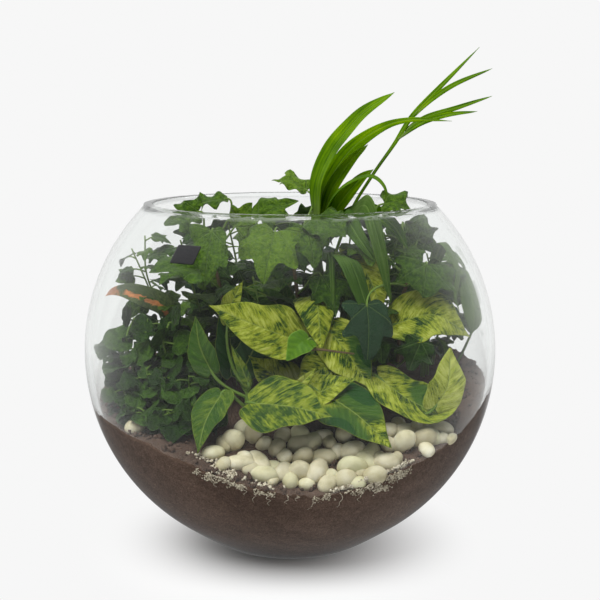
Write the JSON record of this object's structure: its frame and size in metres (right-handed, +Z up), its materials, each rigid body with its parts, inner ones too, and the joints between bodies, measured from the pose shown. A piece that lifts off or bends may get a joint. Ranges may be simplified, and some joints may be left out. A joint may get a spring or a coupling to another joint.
{
  "type": "glass plant terrarium",
  "caption": "Round clear-glass bowl with a wide cut mouth, filled with dark soil and white pebbles and planted with variegated pothos, ivy, a young palm and small creepers.",
  "frame": {"origin": "centre of the bowl's flat base, at the level of the surface it stands on", "axes": "+Z up out of the mouth; -Y is the front, where the bed slopes down to the pebbles; +X is to the viewer's right, the side that the palm leans to"},
  "size_m": [0.3, 0.3, 0.366],
  "materials": {
    "clear_glass": "clear and polished, with a fire-rounded rim",
    "potting_soil": "dark brown, moist and crumbly",
    "white_pebble": "smooth, chalky, with some greenish stones",
    "marbled_leaf": "glossy, yellow-green with cream edges and dark flecks along the side veins",
    "ivy_leaf": "satin, mid green with pale veins",
    "palm_leaf": "satin, bright green with a pale midrib and parallel veins",
    "creeper_leaf": "satin, dark green, small and rounded",
    "croton_leaf": "glossy, green with an orange stripe and a salmon tip",
    "stem": "matt, brown-green",
    "black_label": "plain black film, blank"
  },
  "bodies": {
    "root": {"blank_label": "black_label", "creeper_sprig_front": "creeper_leaf", "creeper_sprig_inner": "creeper_leaf", "creeper_sprig_outer": "creeper_leaf", "croton_leaf": "croton_leaf", "glass_bowl": "clear_glass", "grass_blade_glass": "palm_leaf", "grass_blade_right": "palm_leaf", "ivy_leaf_bluish": "ivy_leaf", "ivy_leaf_bright": "ivy_leaf", "ivy_leaf_centre": "ivy_leaf", "ivy_leaf_low_right": "ivy_leaf", "ivy_leaf_pale_left": "ivy_leaf", "ivy_leaf_right": "ivy_leaf", "ivy_leaf_rim_centre": "ivy_leaf", "ivy_leaf_rim_left": "ivy_leaf", "ivy_leaf_wide_left": "ivy_leaf", "ivy_sprig_back_centre": "ivy_leaf", "ivy_sprig_back_left": "ivy_leaf", "ivy_sprig_back_right": "ivy_leaf", "ivy_stem_centre": "stem", "ivy_stem_left": "stem", "ivy_stem_right": "stem", "palm_cane": "stem", "palm_frond": "palm_leaf", "palm_leaf_arched": "palm_leaf", "palm_leaf_dark": "palm_leaf", "palm_leaf_hanging": "palm_leaf", "palm_leaf_long": "palm_leaf", "palm_leaf_short_front": "palm_leaf", "palm_leaf_tall": "palm_leaf", "pebble_01": "white_pebble", "pebble_02": "white_pebble", "pebble_03": "white_pebble", "pebble_04": "white_pebble", "pebble_05": "white_pebble", "pebble_06": "white_pebble", "pebble_07": "white_pebble", "pebble_08": "white_pebble", "pebble_09": "white_pebble", "pebble_10": "white_pebble", "pebble_11": "white_pebble", "pebble_12": "white_pebble", "pointed_leaf": "palm_leaf", "pothos_leaf_arched": "marbled_leaf", "pothos_leaf_broad_left": "marbled_leaf", "pothos_leaf_curled": "marbled_leaf", "pothos_leaf_dark_folded": "marbled_leaf", "pothos_leaf_draped": "marbled_leaf", "pothos_leaf_hanging": "marbled_leaf", "pothos_leaf_low_front": "marbled_leaf", "pothos_leaf_low_left": "marbled_leaf", "pothos_leaf_low_right": "marbled_leaf", "pothos_leaf_right": "marbled_leaf", "pothos_leaf_rolled": "marbled_leaf", "pothos_leaf_small_front": "marbled_leaf", "pothos_leaf_upright": "marbled_leaf", "pothos_side_shoot": "stem", "pothos_stem": "stem", "soil": "potting_soil"}
  },
  "joints": []
}
